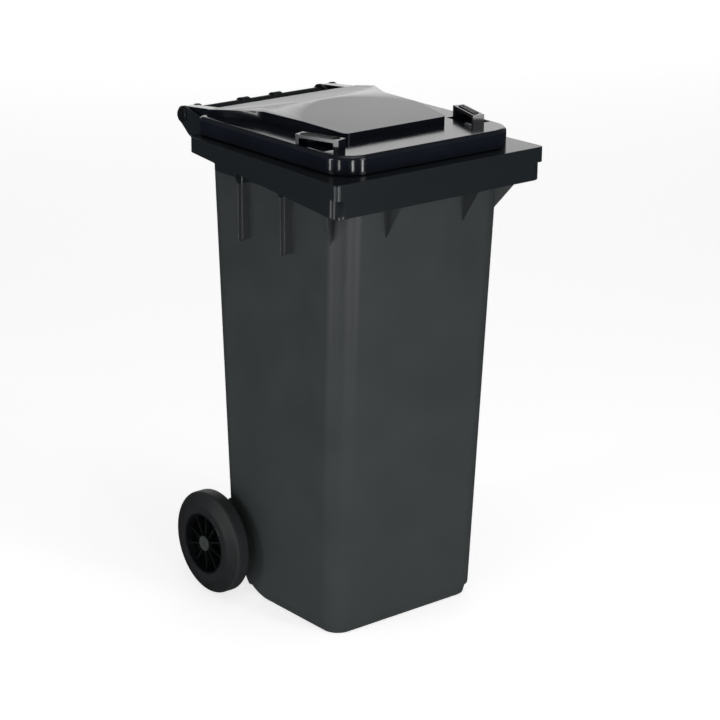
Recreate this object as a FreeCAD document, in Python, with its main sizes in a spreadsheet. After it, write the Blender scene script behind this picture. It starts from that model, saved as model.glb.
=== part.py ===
import FreeCAD, Part
import math
import os
import Sketcher

# A two-wheeled refuse bin of the 120 litre class.
# Frame: millimetres, +Z up, the front faces -Y, and +X is the right-hand wheel seen from behind.
# The origin is on the ground, under the middle of the bin's outer box.

doc = FreeCAD.newDocument("wheelie_bin")
sheet = doc.addObject("Spreadsheet::Sheet", "Sizes")

DRIVING_SIZES = [
    # overall
    ("overall_depth", 550, "front of the comb to the back of the hinge bosses"),
    ("clearance", 0.3, "gap between faces of neighbouring pieces"),
    ("running_gap", 0.05, "radial gap of a shaft in its bore"),
    # container
    ("wall", 4, "container wall"),
    ("mouth_upstand", 14, "upstand round the mouth above the comb"),
    ("comb_ledge", 29.4, "back corner of the comb to the side of the mouth"),
    ("mouth_front_gap", 41, "front of the comb to the front of the mouth"),
    ("mouth_rear_gap", 9, "back of the mouth to the back of the comb"),
    ("mouth_corner", 45, "corner radius of the mouth"),
    ("side_taper", 17, "each side leans in by this much at the foot"),
    ("front_taper", 42.4, "the front leans in by this much at the foot"),
    ("rear_taper", 32.2, "the back leans in by this much at the foot"),
    ("foot_corner", 40, "corner radius at the foot"),
    ("plinth_height", 20, "band round the foot"),
    ("plinth_step", 4, "the band is set back by this much"),
    ("plinth_draft", 5, "the band leans in by this much"),
    ("floor_wall", 5, "floor of the container"),
    # comb: the hollow collar that the lifting comb of the truck grips
    ("comb_width_front", 480, "width of the comb at the front"),
    ("comb_width_rear", 442, "width of the comb at the back"),
    ("comb_top", 885, "height of the top face of the comb"),
    ("comb_depth_front", 62, "height of the comb's front face"),
    ("comb_depth_rear", 28, "height of the comb's back face"),
    ("upper_tier", 28, "height of the upper tier of the front face"),
    ("lower_setback", 3, "the lower tier is set back by this much"),
    ("upper_corner", 9, "front corner radius of the upper tier"),
    ("lower_corner", 20, "front corner radius of the lower tier"),
    ("rear_corner", 20, "back corner radius of the comb"),
    ("comb_land", 22, "solid land at the back of the comb"),
    ("hinge_reach", 72, "back of the comb to the hinge axis"),
    # ribs under the comb
    ("rib_wall", 4, "thickness of ribs and gussets"),
    ("gusset_spacing", 178, "distance between the two front gussets"),
    ("gusset_drop", 69, "height of a gusset below the comb"),
    ("corner_gusset_inset", 79, "front of the comb to where a corner gusset meets the side of the mouth"),
    ("corner_gusset_rise", 17, "outer end of a corner gusset above the bottom of the comb"),
    ("side_rib_spacing", 125, "distance between the two ribs of a side"),
    ("side_rib_middle", -22, "middle of the side ribs along the depth"),
    ("side_rib_reach", 23.4, "side of the mouth to the outer edge of the side ribs"),
    ("side_rib_drop", 109, "height of a side rib below the comb's front face"),
    # hinge and handle
    ("hinge_rise", 20, "top of the comb to the hinge axis"),
    ("boss_radius", 17, "hinge bosses"),
    ("fork_inset", 11.6, "side of the mouth to the outer face of the hinge fork"),
    ("fork_plate", 8, "thickness of each fork plate"),
    ("fork_gap", 23, "space between the two plates of a fork"),
    ("fork_drop", 47, "top of the comb to the fork's lower end on the back wall"),
    ("handle_radius", 11.5, "handle bar"),
    ("ring_radius", 15.5, "raised rings on the handle bar"),
    ("ring_width", 20, "width of a ring"),
    ("ring_spacing", 76, "distance between the rings"),
    ("pin_radius", 6, "hinge pin"),
    ("pin_head_radius", 14, "head of the hinge pin"),
    ("pin_head", 3.5, "thickness of the pin's head"),
    ("pin_tip", 5, "length of the pin inside the handle bar"),
    ("pin_head_edge", 2, "rounding of the pin's head"),
    ("pin_tip_edge", 1, "rounding of the pin's tip"),
    # lid
    ("lid_overhang", 11.4, "side of the mouth to the side of the lid"),
    ("lid_setback", 28.6, "front of the comb to the front of the lid"),
    ("lid_gap", 2, "comb to the lower edge of the skirt"),
    ("lid_skirt", 33, "height of the skirt"),
    ("lid_wall", 3.5, "lid wall"),
    ("lid_front_corner", 55, "front corner radius of the lid"),
    ("lid_rear_corner", 20, "back corner radius of the lid"),
    ("lid_edge", 8, "rounding of the lid's upper edge"),
    ("dome_margin", 100, "front of the lid to the raised panel"),
    ("dome_inset_front", 86, "side of the lid to the panel at its front"),
    ("dome_inset_middle", 69, "side of the lid to the panel at its crest"),
    ("dome_inset_neck", 63, "side of the lid to the panel before it flares"),
    ("flare_inset", 4, "outer face of the hinge fork to the side of the flared panel"),
    ("dome_corner", 12, "front corner radius of the panel"),
    ("crest_run", 100, "front of the panel to its crest at the sides"),
    ("neck_run", 106, "crest to the start of the flare"),
    ("flare_run", 70, "length of the flare"),
    ("dome_front_rise", 14, "panel's front edge above the margin"),
    ("dome_rise", 21, "sides of the crest above the margin"),
    ("dome_crown", 6.5, "middle of the crest above its sides"),
    ("dome_rear_rise", 7, "panel's back edge above the margin"),
    ("arm_width", 21, "width of a hinge arm"),
    ("arm_radius", 15.5, "eye of a hinge arm"),
    ("arm_rise", 11, "top of the arm above the margin"),
    ("arm_root", 40, "the arms start this far inside the lid"),
    # grips on the lid
    ("grip_length", 90, "length of a grip"),
    ("grip_width", 22, "width of a grip"),
    ("grip_rise", 18, "top of a grip above the margin"),
    ("grip_bar", 6, "thickness of the grip's bar"),
    ("grip_leg", 9, "thickness of the grip's legs"),
    ("grip_turn", 17.6, "angle of a grip to the lid's side, in degrees"),
    ("grip_inset", 31.5, "side of the lid to the middle of a grip"),
    ("grip_setback", 102, "front of the lid to the middle of a grip"),
    ("grip_pocket_depth", 8, "depth of the finger pocket"),
    ("grip_pocket_width", 44, "width of the finger pocket"),
    # wheels and axle
    ("wheel_radius", 100, "outer radius of the tyre"),
    ("wheel_gap", 27, "outer lug to the inner side of the hub"),
    ("axle_to_hinge", 127, "the axle is this far in front of the hinge axis"),
    ("axle_radius", 10, "axle"),
    ("hub_half_width", 23, "half width of the hub"),
    ("rim_radius", 60, "outside of the hub's rim"),
    ("rim_wall", 5, "wall of the hub's rim"),
    ("web_wall", 4, "disc that joins rim and boss"),
    ("hub_boss_wall", 6, "wall of the hub's boss"),
    ("rim_edge", 1, "rounding of the rim's edges"),
    ("rim_draft", 1.5, "the rim's wall is this much thinner at its edges"),
    ("boss_inset", 3, "the boss ends this far inside the rim's edge"),
    ("spoke_wall", 3, "thickness of a spoke"),
    ("spoke_count", 10, "number of spokes"),
    ("spoke_recess", 5, "the spokes end this far inside the rim's edge"),
    ("spoke_slope", 2, "a spoke is this much narrower at the rim"),
    ("spoke_bite", 1, "a spoke reaches this far into boss and rim"),
    ("tread_half_width", 11, "half width of the tread"),
    ("shoulder_radius", 6, "rounding of the tyre's shoulders"),
    ("bead_height", 14, "straight flank of the tyre above the rim"),
    ("bead_radius", 12, "rounding between flank and shoulder"),
    ("shoulder_slope", 2, "the shoulder starts this far beyond the tread"),
    ("cap_margin", 1.5, "the cap's flange is this much smaller than the boss"),
    ("cap_lip", 1.5, "flange of the cap beyond its plug"),
    ("cap_edge", 1.2, "rounding of the cap's flange"),
    ("plug_edge", 0.8, "rounding of the plug's end"),
    ("cap_wall", 2.5, "flange of the hub cap"),
    ("cap_plug", 5, "length of the cap's plug"),
    ("lug_width", 15, "width of an axle lug"),
    ("lug_inset", 9.6, "side of the foot to the outer face of the outer lugs"),
    ("lug_inner", 62, "outer face of the inner lugs"),
    ("lug_wall", 8, "wall of an axle lug round its bore"),
    ("spacer_wall", 5, "wall of the spacer sleeve"),
    ("sleeve_edge", 1, "rounding of the sleeve's ends"),
    ("axle_edge", 1.5, "rounding of the axle's ends"),
    # recess for the axle in the lower back of the container
    ("foot_to_axle", 108, "end of the flat foot to the axle"),
    ("heel_radius", 68, "rounded heel of the container"),
    ("recess_headroom", 30, "axle to the top of the recess's upright wall"),
    ("recess_slope", 48, "the recess rises this much to the back wall"),
    ("recess_overrun", 20, "the recess is cut this far past the back of the foot"),
    ("ceiling_wall", 5.5, "wall above the recess"),
    # spring pin that locks a wheel on the axle
    ("lock_offset", 12, "the lock pin is this far inside the wheel's middle plane"),
    ("lock_radius", 3, "lock pin"),
    ("lock_head_radius", 4.9, "head of the lock pin"),
    ("lock_head", 4, "height of the pin's head"),
    ("lock_groove", 3, "depth of the groove in the axle"),
    ("lock_groove_gap", 0.5, "the groove is this much wider than the pin at each side"),
    ("lock_seat", 1, "the seat of the pin's head lies this far inside the boss"),
    ("lock_tower_height", 20, "height of the tower for pin and spring on the boss"),
    ("lock_tower_radius", 8, "outside of the tower"),
    ("lock_roof", 2.5, "closed end of the tower"),
    ("spring_wire", 0.9, "spring wire diameter"),
    ("spring_radius", 3.7, "middle radius of the spring"),
    ("spring_turns", 6, "turns of the spring"),
]


class Size:
    """A length that knows its value and the spreadsheet expression that it comes from."""

    def __init__(self, value, text):
        self.value = float(value)
        self.text = text

    @staticmethod
    def of(other):
        return other if isinstance(other, Size) else Size(other, repr(other))

    def __add__(self, other):
        other = Size.of(other)
        return Size(self.value + other.value, "(%s + %s)" % (self.text, other.text))

    def __sub__(self, other):
        other = Size.of(other)
        return Size(self.value - other.value, "(%s - %s)" % (self.text, other.text))

    def __mul__(self, other):
        other = Size.of(other)
        return Size(self.value * other.value, "(%s * %s)" % (self.text, other.text))

    def __truediv__(self, other):
        other = Size.of(other)
        return Size(self.value / other.value, "(%s / %s)" % (self.text, other.text))

    def __neg__(self):
        return Size(-self.value, "(0 - %s)" % self.text)


size = {}
for row, (alias, value, meaning) in enumerate(DRIVING_SIZES, start=1):
    sheet.set("A%d" % row, meaning)
    sheet.set("B%d" % row, str(value))
    sheet.setAlias("B%d" % row, alias)
    size[alias] = Size(value, "Sizes.%s" % alias)
doc.recompute()

ZERO = Size(0, "0")
OVERSHOOT = 2
TOP_EDGE_BAND = 0.1
ARC_SHARE = 0.98
DIAGONAL = 2**0.5

# Places that several pieces share.
comb_front = -(size["overall_depth"] / 2)
hinge_y = size["overall_depth"] / 2 - size["boss_radius"]
hinge_z = size["comb_top"] + size["hinge_rise"]
axle_y = hinge_y - size["axle_to_hinge"]
axle_z = size["wheel_radius"]
mouth_half_width = size["comb_width_rear"] / 2 - size["comb_ledge"]
mouth_top = size["comb_top"] + size["mouth_upstand"]
mouth_front = comb_front + size["mouth_front_gap"]
foot_front = mouth_front + size["front_taper"]
foot_half_width = mouth_half_width - size["side_taper"]
lid_half_width = mouth_half_width + size["lid_overhang"]
lid_front = comb_front + size["lid_setback"]
lid_low = size["comb_top"] + size["lid_gap"]
margin_top = lid_low + size["lid_skirt"]
fork_outer = mouth_half_width - size["fork_inset"]
fork_inner = fork_outer - size["fork_plate"] * 2 - size["fork_gap"]
arm_inner = fork_outer - size["fork_plate"] - size["fork_gap"] / 2 - size["arm_width"] / 2
# The lid ends above the back edge of the comb, and the eyes of its arms reach the hinge axis.
comb_rear = hinge_y - size["hinge_reach"]
lid_rear = comb_rear
mouth_rear = comb_rear - size["mouth_rear_gap"]
foot_rear = mouth_rear - size["rear_taper"]
recess_wall_y = axle_y - size["foot_to_axle"] + size["heel_radius"]
recess_rear = foot_rear + size["recess_overrun"]
recess_knee = axle_z + size["recess_headroom"]
recess_top = recess_knee + size["recess_slope"]
lug_radius = size["axle_radius"] + size["lug_wall"]
lug_outer = foot_half_width - size["lug_inset"]
wheel_middle = lug_outer + size["wheel_gap"] + size["hub_half_width"]
hub_boss_radius = size["axle_radius"] + size["hub_boss_wall"]
hub_face = size["hub_half_width"] - size["boss_inset"]
cap_radius = hub_boss_radius - size["cap_margin"]
cap_bore = cap_radius - size["cap_lip"]
lock_tower_top = hub_boss_radius + size["lock_tower_height"]


def bind(thing, prop, amount):
    """Drive a property of an object from the spreadsheet."""
    thing.setExpression(prop, Size.of(amount).text)


def origin_plane(body, role):
    """One of the body's own origin planes."""
    return [feature for feature in body.Origin.OriginFeatures if feature.Role == role][0]


def new_body(name):
    body = doc.addObject("PartDesign::Body", name)
    body.Label = name
    return body


def new_sketch(body, name, role, offset):
    """A sketch on an origin plane of its own body, moved along the plane's normal."""
    sketch = body.newObject("Sketcher::SketchObject", name)
    sketch.AttachmentSupport = [(origin_plane(body, role), "")]
    sketch.MapMode = "FlatFace"
    sketch.AttachmentOffset = FreeCAD.Placement(
        FreeCAD.Vector(0, 0, Size.of(offset).value), FreeCAD.Rotation()
    )
    bind(sketch, "AttachmentOffset.Base.z", offset)
    return sketch


def hold(sketch, kind, amount, *where):
    """Add a driving constraint and bind it to the spreadsheet."""
    number = sketch.addConstraint(Sketcher.Constraint(kind, *where, Size.of(amount).value))
    sketch.setExpression("Constraints[%d]" % number, Size.of(amount).text)


def fix_point(sketch, geometry, end, x, y):
    """Hold a point at a place given from the sketch's origin."""
    hold(sketch, "DistanceX", x, -1, 1, geometry, end)
    hold(sketch, "DistanceY", y, -1, 1, geometry, end)


def corner_cut(before, corner, after, radius):
    """Tangent points and centre of a rounded corner."""
    here = FreeCAD.Vector(*corner, 0)
    back = (FreeCAD.Vector(*before, 0) - here).normalize()
    on = (FreeCAD.Vector(*after, 0) - here).normalize()
    half_angle = back.getAngle(on) / 2
    reach = radius / math.tan(half_angle)
    middle = (back + on).normalize() * (radius / math.sin(half_angle))
    return here + back * reach, here + on * reach, here + middle


def outline(sketch, corners):
    """A closed outline through corners given as (x, y) or (x, y, radius), anticlockwise."""
    points = [(Size.of(c[0]), Size.of(c[1])) for c in corners]
    radii = [Size.of(c[2]) if len(c) > 2 else None for c in corners]
    places = [(x.value, y.value) for x, y in points]
    count = len(corners)
    entry, leave, centre = [], [], []
    for i in range(count):
        if radii[i] is None:
            here = FreeCAD.Vector(*places[i], 0)
            first, last, middle = here, here, None
        else:
            first, last, middle = corner_cut(
                places[i - 1], places[i], places[(i + 1) % count], radii[i].value
            )
        entry.append(first)
        leave.append(last)
        centre.append(middle)
    lines = []
    for i in range(count):
        lines.append(sketch.addGeometry(Part.LineSegment(leave[i], entry[(i + 1) % count]), False))
    for i in range(count):
        before, after = lines[i - 1], lines[i]
        x, y = points[i]
        if radii[i] is None:
            sketch.addConstraint(Sketcher.Constraint("Coincident", before, 2, after, 1))
            fix_point(sketch, after, 1, x, y)
            continue
        along = entry[i] - FreeCAD.Vector(*places[i], 0)
        onward = leave[i] - FreeCAD.Vector(*places[i], 0)
        turns_left = along.cross(onward).z < 0
        start, end = (entry[i], leave[i]) if turns_left else (leave[i], entry[i])
        a = math.atan2(start.y - centre[i].y, start.x - centre[i].x)
        b = math.atan2(end.y - centre[i].y, end.x - centre[i].x)
        if b < a:
            b += 2 * math.pi
        circle = Part.Circle(centre[i], FreeCAD.Vector(0, 0, 1), radii[i].value)
        arc = sketch.addGeometry(Part.ArcOfCircle(circle, a, b), False)
        first, last = (1, 2) if turns_left else (2, 1)
        sketch.addConstraint(Sketcher.Constraint("Tangent", before, 2, arc, first))
        sketch.addConstraint(Sketcher.Constraint("Tangent", arc, last, after, 1))
        hold(sketch, "Radius", radii[i], arc)
        point = sketch.addGeometry(Part.Point(FreeCAD.Vector(*places[i], 0)), True)
        fix_point(sketch, point, 1, x, y)
        sketch.addConstraint(Sketcher.Constraint("PointOnObject", point, 1, before))
        sketch.addConstraint(Sketcher.Constraint("PointOnObject", point, 1, after))


def disc(sketch, x, y, radius):
    """A circle."""
    x, y, radius = Size.of(x), Size.of(y), Size.of(radius)
    centre = FreeCAD.Vector(x.value, y.value, 0)
    circle = sketch.addGeometry(Part.Circle(centre, FreeCAD.Vector(0, 0, 1), radius.value), False)
    fix_point(sketch, circle, 3, x, y)
    hold(sketch, "Radius", radius, circle)


def extrude(body, name, role, draw, low, high, cut=False):
    """Pad or pocket what draw puts in a sketch, from low to high across the plane."""
    low, high = Size.of(low), Size.of(high)
    # The XZ plane's normal points to -Y.
    start = -high if role == "XZ_Plane" else low
    sketch = new_sketch(body, name + "_sketch", role, start)
    draw(sketch)
    feature = body.newObject("PartDesign::Pocket" if cut else "PartDesign::Pad", name)
    feature.Profile = sketch
    bind(feature, "Length", high - low)
    feature.Reversed = cut
    return feature


def turn(body, name, corners, cut=False):
    """Revolve an outline of (place along X, radius) points round the X axis."""
    sketch = new_sketch(body, name + "_sketch", "XY_Plane", ZERO)
    outline(sketch, corners)
    feature = body.newObject("PartDesign::Groove" if cut else "PartDesign::Revolution", name)
    feature.Profile = sketch
    feature.ReferenceAxis = (sketch, ["H_Axis"])
    feature.Angle = 360
    return feature


def loft(body, name, low_draw, low_z, high_draw, high_z):
    """A solid between two level outlines."""
    low_sketch = new_sketch(body, name + "_low", "XY_Plane", low_z)
    low_draw(low_sketch)
    high_sketch = new_sketch(body, name + "_high", "XY_Plane", high_z)
    high_draw(high_sketch)
    feature = body.newObject("PartDesign::AdditiveLoft", name)
    feature.Profile = low_sketch
    feature.Sections = [high_sketch]
    return feature


def round_edges(body, name, base, chosen, radius):
    """Fillet the edges of a feature that a test picks out."""
    doc.recompute()
    edges = ["Edge%d" % (i + 1) for i, edge in enumerate(base.Shape.Edges) if chosen(edge)]
    feature = body.newObject("PartDesign::Fillet", name)
    feature.Base = (base, edges)
    bind(feature, "Radius", radius)
    return feature


def place(thing, side, x, y, z):
    """Stand a piece on the right (side 1) or, turned half round, on the left (side -1)."""
    turned = FreeCAD.Rotation(FreeCAD.Vector(0, 0, 1), 0 if side > 0 else 180)
    x = Size.of(x) if side > 0 else -Size.of(x)
    y, z = Size.of(y), Size.of(z)
    thing.Placement = FreeCAD.Placement(FreeCAD.Vector(x.value, y.value, z.value), turned)
    bind(thing, "Placement.Base.x", x)
    bind(thing, "Placement.Base.y", y)
    bind(thing, "Placement.Base.z", z)


def block(name, length, width, height, x, y, z, angle=None):
    """A box, centred in plan at x, y, that stands on z and may be turned about Z."""
    box = doc.addObject("Part::Box", name)
    x, y, z = Size.of(x), Size.of(y), Size.of(z)
    bind(box, "Length", length)
    bind(box, "Width", width)
    bind(box, "Height", height)
    turned = angle.value if angle is not None else 0
    spin = FreeCAD.Rotation(FreeCAD.Vector(0, 0, 1), turned)
    half = FreeCAD.Vector(length.value / 2, width.value / 2, 0)
    corner = FreeCAD.Vector(x.value, y.value, z.value) - spin.multVec(half)
    box.Placement = FreeCAD.Placement(corner, spin)
    angle_text = angle.text if angle is not None else "0"
    cosine = Size(math.cos(math.radians(turned)), "cos(%s * 1 deg)" % angle_text)
    sine = Size(math.sin(math.radians(turned)), "sin(%s * 1 deg)" % angle_text)
    bind(box, "Placement.Base.x", x - cosine * length / 2 + sine * width / 2)
    bind(box, "Placement.Base.y", y - sine * length / 2 - cosine * width / 2)
    bind(box, "Placement.Base.z", z)
    if angle is not None:
        box.setExpression("Placement.Rotation.Angle", "%s * 1 deg" % angle_text)
    return box


def fuse(name, shapes):
    union = doc.addObject("Part::MultiFuse", name)
    union.Shapes = shapes
    return union


def cut(name, base, tool):
    difference = doc.addObject("Part::Cut", name)
    difference.Base = base
    difference.Tool = tool
    return difference


# ---------------------------------------------------------------- container


def mirrored(corners):
    """Complete an outline from its right-hand half, listed from front to back."""
    left = [(-Size.of(c[0]),) + tuple(c[1:]) for c in reversed(corners)]
    return list(corners) + left


def section(half_width, front, rear, radius):
    """A rounded rectangle in plan."""
    return lambda sketch: outline(
        sketch, mirrored([(half_width, front, radius), (half_width, rear, radius)])
    )


def comb_half_width(back_from_front):
    """Half width of the comb at a distance behind its front face."""
    narrowing = (size["comb_width_front"] - size["comb_width_rear"]) / 2
    return size["comb_width_front"] / 2 - narrowing * back_from_front / (comb_rear - comb_front)


def comb_plan(setback, front_corner, inset, land):
    """Plan of the comb, set back at the front, inset all round, with a land at the back."""
    front_half = comb_half_width(setback) - inset
    rear_half = comb_half_width(comb_rear - comb_front) - inset
    return lambda sketch: outline(
        sketch,
        mirrored(
            [
                (front_half, comb_front + setback + inset, front_corner),
                (rear_half, comb_rear - land, size["rear_corner"]),
            ]
        ),
    )


def add_comb(body):
    comb_low = size["comb_top"] - size["comb_depth_front"]
    tier_low = size["comb_top"] - size["upper_tier"]
    setback = size["lower_setback"]
    extrude(
        body, "lower_tier", "XY_Plane", comb_plan(setback, size["lower_corner"], ZERO, ZERO),
        comb_low, tier_low,
    )
    extrude(
        body, "upper_tier", "XY_Plane", comb_plan(ZERO, size["upper_corner"], ZERO, ZERO), tier_low,
        size["comb_top"],
    )
    # The lower edge of the sides rises towards the back.
    rear_low = size["comb_top"] - size["comb_depth_rear"]
    wedge = [
        (comb_front, comb_low - OVERSHOOT),
        (comb_rear + OVERSHOOT, comb_low - OVERSHOOT),
        (comb_rear + OVERSHOOT, rear_low),
        (comb_front, comb_low),
    ]
    half = size["comb_width_front"] / 2 + OVERSHOOT
    extrude(body, "rising_edge", "YZ_Plane", lambda s: outline(s, wedge), -half, half, cut=True)
    wall = size["wall"]
    channel = comb_plan(setback, size["lower_corner"] - wall, wall, size["comb_land"])
    extrude(
        body, "channel", "XY_Plane", channel, comb_low - OVERSHOOT, size["comb_top"] - wall, cut=True
    )


def add_shell(body):
    loft(
        body,
        "shell",
        section(foot_half_width, foot_front, foot_rear, size["foot_corner"]),
        size["plinth_height"],
        section(mouth_half_width, mouth_front, mouth_rear, size["mouth_corner"]),
        mouth_top,
    )
    step = size["plinth_step"]
    low = step + size["plinth_draft"]
    loft(
        body,
        "plinth",
        section(foot_half_width - low, foot_front + low, foot_rear - low, size["foot_corner"] - low),
        ZERO,
        section(foot_half_width - step, foot_front + step, foot_rear - step, size["foot_corner"] - step),
        size["plinth_height"],
    )


def wall_share(height):
    """How far up the tapered wall a height lies, from 0 at the foot to 1 at the mouth."""
    return (height - size["plinth_height"]) / (mouth_top - size["plinth_height"])


def wall_half_width(height):
    return foot_half_width + size["side_taper"] * wall_share(height)


def wall_front(height):
    return foot_front - size["front_taper"] * wall_share(height)


def wall_rear(height):
    return foot_rear + size["rear_taper"] * wall_share(height)


def diagonal_plate(body, name, side, corners):
    """Pad an upright plate that runs forward and out at 45 degrees from the side of the mouth."""
    half = size["rib_wall"] / 2 / DIAGONAL
    start_x = mouth_half_width * side + half
    start_y = comb_front + size["corner_gusset_inset"] + half * side
    sketch = new_sketch(body, name + "_sketch", "XZ_Plane", -start_y)
    sketch.AttachmentOffset = FreeCAD.Placement(
        FreeCAD.Vector(start_x.value, 0, -start_y.value),
        FreeCAD.Rotation(FreeCAD.Vector(0, 1, 0), 45 * side - 90),
    )
    bind(sketch, "AttachmentOffset.Base.x", start_x)
    outline(sketch, corners)
    feature = body.newObject("PartDesign::Pad", name)
    feature.Profile = sketch
    bind(feature, "Length", size["rib_wall"])
    return feature


def add_ribs(body):
    """Gussets and ribs that hold the comb to the walls."""
    top = size["comb_top"] - size["wall"]
    comb_low = size["comb_top"] - size["comb_depth_front"]
    tip = comb_low - size["gusset_drop"]
    root = size["wall"] / 2
    half_rib = size["rib_wall"] / 2
    lip = comb_front + size["lower_setback"] + root
    front_gusset = [
        (wall_front(tip) + root, tip),
        (wall_front(top) + root, top),
        (lip, top),
        (lip, comb_low),
    ]
    for side in (-1, 1):
        middle = size["gusset_spacing"] / 2 * side
        extrude(
            body, "front_gusset", "YZ_Plane", lambda s: outline(s, front_gusset),
            middle - half_rib, middle + half_rib,
        )
    # A corner gusset points out at 45 degrees. Its outline is measured from the side of the mouth.
    lip_x = comb_half_width(size["corner_gusset_inset"] / 2) - root
    reach = (lip_x - mouth_half_width) * DIAGONAL
    corner_gusset = [
        ((wall_half_width(tip) - mouth_half_width) * DIAGONAL - root, tip),
        (reach, comb_low + size["corner_gusset_rise"]),
        (reach, top),
        (-root, top),
    ]
    for side in (-1, 1):
        diagonal_plate(body, "corner_gusset", side, corner_gusset)
    outer = mouth_half_width + size["side_rib_reach"]
    low = comb_low - size["side_rib_drop"]
    inner = wall_half_width(low) - root
    flare = size["comb_depth_front"] / 2
    stiffener_edge = outer - size["rib_wall"] * 2
    for side, along in ((-1, -1), (-1, 1), (1, -1), (1, 1)):
        middle = size["side_rib_middle"] + size["side_rib_spacing"] / 2 * along
        flank = comb_half_width(middle - comb_front) - root
        rib = [
            (inner * side, low + root * 2),
            (outer * side, low),
            (outer * side, comb_low - root),
            (flank * side, comb_low + flare),
            (flank * side, top),
            (inner * side, top),
        ]
        stiffener = [
            (inner * side, low + size["wall"]),
            (stiffener_edge * side, low + size["wall"]),
            (stiffener_edge * side, top),
            (inner * side, top),
        ]
        if side < 0:
            rib.reverse()
            stiffener.reverse()
        extrude(
            body, "side_rib", "XZ_Plane", lambda s: outline(s, rib), middle - half_rib, middle + half_rib
        )
        extrude(
            body, "rib_stiffener", "XZ_Plane", lambda s: outline(s, stiffener),
            middle - size["rib_wall"], middle + size["rib_wall"],
        )


def recess_outline(wall, ceiling):
    """Side view of the axle recess, drawn wall nearer to the inside of the container."""
    heel = size["heel_radius"] - wall
    start_y = recess_wall_y - size["heel_radius"] - size["wall"]
    low = -Size.of(OVERSHOOT)
    return [
        (start_y, low),
        (recess_rear, low),
        (recess_rear, recess_top + ceiling),
        (recess_wall_y - wall, recess_knee + ceiling - wall),
        (recess_wall_y - wall, wall, heel),
        (start_y, wall),
    ]


def add_axle_recess(body):
    half = mouth_half_width
    extrude(
        body, "axle_recess", "YZ_Plane", lambda s: outline(s, recess_outline(ZERO, ZERO)),
        -half, half, cut=True,
    )
    # Lugs carry the axle inside the recess.
    rise = (recess_top - recess_knee) / (recess_rear - recess_wall_y)
    back = axle_y + lug_radius
    embed = size["wall"] / 2
    lug = [
        (recess_wall_y - embed, axle_z - lug_radius * 2),
        (recess_wall_y + embed, axle_z - lug_radius * 2),
        (back, axle_z - lug_radius, lug_radius),
        (back, recess_knee + rise * (back - recess_wall_y) + embed),
        (recess_wall_y - embed, recess_knee),
    ]
    for outer in (lug_outer, size["lug_inner"]):
        for side in (-1, 1):
            near = outer - size["lug_width"] if side > 0 else -outer
            extrude(
                body, "axle_lug", "YZ_Plane", lambda s: outline(s, lug), near, near + size["lug_width"]
            )
    extrude(
        body, "axle_bore", "YZ_Plane",
        lambda s: disc(s, axle_y, axle_z, size["axle_radius"] + size["running_gap"]),
        -half, half, cut=True,
    )


def add_handle(body):
    """Hinge forks on the back wall, with the handle bar between them."""
    top = size["comb_top"] - OVERSHOOT
    boss = size["boss_radius"]
    fork_low = size["comb_top"] - size["fork_drop"]
    root = wall_rear(fork_low) - size["wall"] / 2
    # The plate's back corners end inside the round boss.
    under_boss = hinge_z - boss * 0.8
    behind_axis = hinge_y + boss * 0.5
    crown = hinge_z + boss * 0.99
    plate = [
        (root, fork_low),
        (hinge_y - boss, hinge_z - boss * 2, boss),
        (behind_axis, under_boss),
        (hinge_y, crown),
        (comb_rear + boss, hinge_z + size["pin_radius"]),
        (comb_rear + size["wall"], top),
        (root, top),
    ]
    for side in (-1, 1):
        for outer in (fork_outer, fork_outer - size["fork_plate"] - size["fork_gap"]):
            near = outer - size["fork_plate"] if side > 0 else -outer
            extrude(
                body, "fork_plate", "YZ_Plane", lambda s: outline(s, plate), near, near + size["fork_plate"]
            )
            extrude(
                body, "fork_boss", "YZ_Plane", lambda s: disc(s, hinge_y, hinge_z, size["boss_radius"]),
                near, near + size["fork_plate"],
            )
    extrude(
        body, "handle_bar", "YZ_Plane", lambda s: disc(s, hinge_y, hinge_z, size["handle_radius"]),
        -fork_inner, fork_inner,
    )
    for side in (-1, 1):
        middle = size["ring_spacing"] / 2 * side
        extrude(
            body, "handle_ring", "YZ_Plane", lambda s: disc(s, hinge_y, hinge_z, size["ring_radius"]),
            middle - size["ring_width"] / 2, middle + size["ring_width"] / 2,
        )
    bore_depth = fork_inner - size["pin_tip"] - size["clearance"]
    for side in (-1, 1):
        near = bore_depth if side > 0 else -(fork_outer + OVERSHOOT)
        far = fork_outer + OVERSHOOT if side > 0 else -bore_depth
        extrude(
            body, "pin_bore", "YZ_Plane",
            lambda s: disc(s, hinge_y, hinge_z, size["pin_radius"] + size["running_gap"]),
            near, far, cut=True,
        )


def make_cavity():
    """The inside of the container, clear of the axle recess."""
    cavity = new_body("container_cavity")
    wall = size["wall"]
    shelf = size["plinth_height"] + wall
    loft(
        cavity,
        "upper_room",
        section(foot_half_width - wall, foot_front + wall, foot_rear - wall, size["foot_corner"] - wall),
        shelf,
        section(
            mouth_half_width - wall, mouth_front + wall, mouth_rear - wall, size["mouth_corner"] - wall
        ),
        mouth_top + OVERSHOOT,
    )
    inset = size["plinth_step"] + size["plinth_draft"] + wall
    low = section(
        foot_half_width - inset, foot_front + inset, foot_rear - inset, size["foot_corner"] - inset
    )
    loft(cavity, "lower_room", low, size["floor_wall"], low, shelf + OVERSHOOT)
    half = mouth_half_width
    extrude(
        cavity, "heel_wall", "YZ_Plane",
        lambda s: outline(s, recess_outline(wall, size["ceiling_wall"])), -half, half, cut=True,
    )
    return cavity


def make_container():
    body = new_body("container_outside")
    add_comb(body)
    add_shell(body)
    add_ribs(body)
    add_axle_recess(body)
    add_handle(body)
    return cut("bin_body", body, make_cavity())


# ---------------------------------------------------------------- lid


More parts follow.
